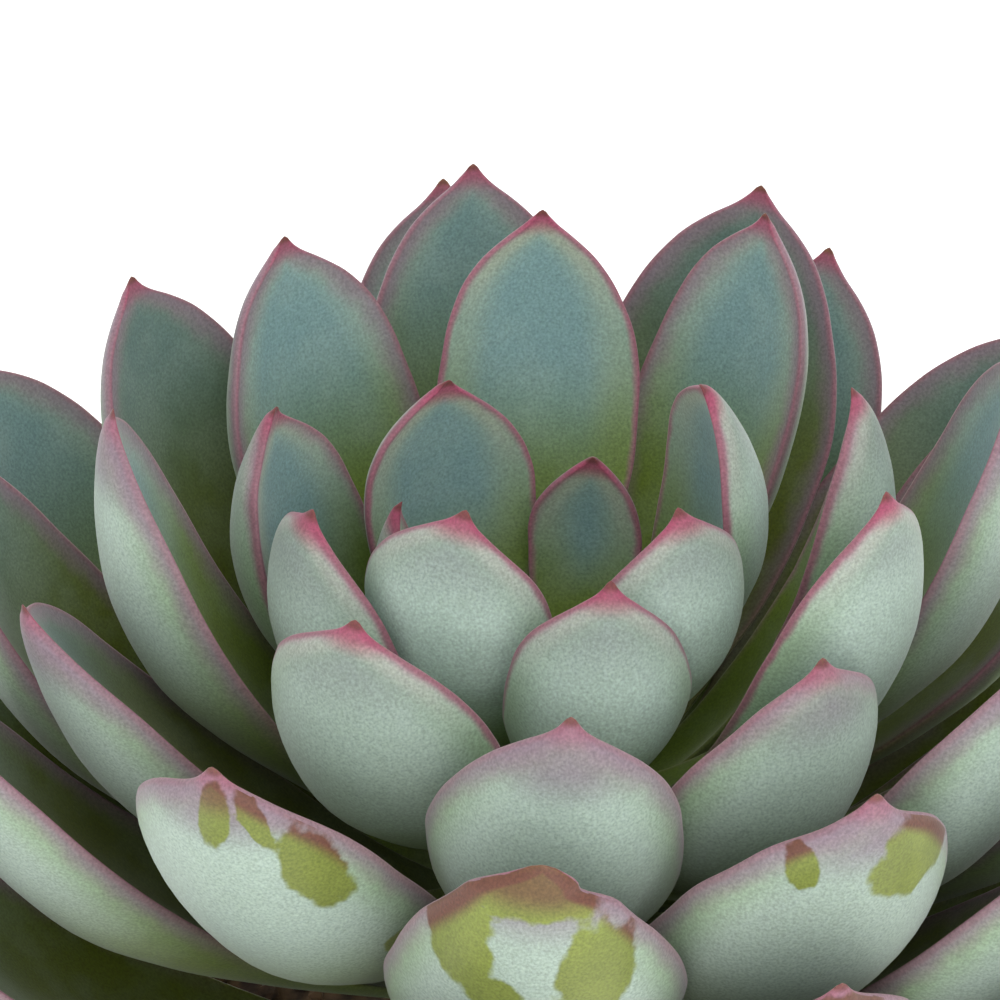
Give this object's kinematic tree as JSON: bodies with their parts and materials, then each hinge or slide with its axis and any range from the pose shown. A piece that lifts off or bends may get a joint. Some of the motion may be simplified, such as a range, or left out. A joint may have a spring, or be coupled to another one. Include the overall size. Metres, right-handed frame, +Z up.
{
  "type": "potted succulent",
  "caption": "Thick-leaved succulent rosette with blue-green, pink-edged pointed leaves on a short stem, in a plain round clay pot filled with soil.",
  "frame": {"origin": "centre of the pot's flat underside, on the ground", "axes": "+Z up the pot's axis, -Y towards the side that the picture was taken from, +X to its right"},
  "size_m": [0.1249, 0.1298, 0.1614],
  "materials": {
    "clay": "dry unglazed fired clay",
    "soil": "crumbly potting soil",
    "stem": "woody, with old leaf scars",
    "leaf": "waxy blue-green bloom with pink margins",
    "withered_leaf": "dry and papery"
  },
  "bodies": {
    "root": {"pot": "clay", "soil": "soil", "stem": "stem", "leaf_00": "leaf", "leaf_01": "leaf", "leaf_02": "leaf", "leaf_03": "leaf", "leaf_05": "leaf", "leaf_06": "leaf", "leaf_07": "leaf", "leaf_08": "leaf", "leaf_09": "leaf", "leaf_10": "leaf", "leaf_11": "leaf", "leaf_12": "leaf", "leaf_13": "leaf", "leaf_14": "leaf", "leaf_15": "leaf", "leaf_17": "leaf", "leaf_18": "leaf", "leaf_19": "leaf", "leaf_21": "leaf", "leaf_22": "leaf", "leaf_23": "leaf", "leaf_24": "leaf", "leaf_25": "leaf", "leaf_26": "leaf", "leaf_27": "leaf", "leaf_28": "leaf", "leaf_29": "leaf", "leaf_30": "leaf", "leaf_32": "leaf", "leaf_33": "leaf", "leaf_34": "leaf", "leaf_35": "leaf", "leaf_36": "leaf", "leaf_38": "leaf", "leaf_39": "leaf", "leaf_40": "leaf", "leaf_41": "leaf", "leaf_42": "leaf", "leaf_43": "leaf", "leaf_44": "leaf", "leaf_45": "leaf", "leaf_46": "leaf", "leaf_47": "leaf", "leaf_48": "leaf", "leaf_49": "leaf", "leaf_50": "leaf", "leaf_55": "leaf", "dry_leaf": "withered_leaf"}
  },
  "joints": []
}
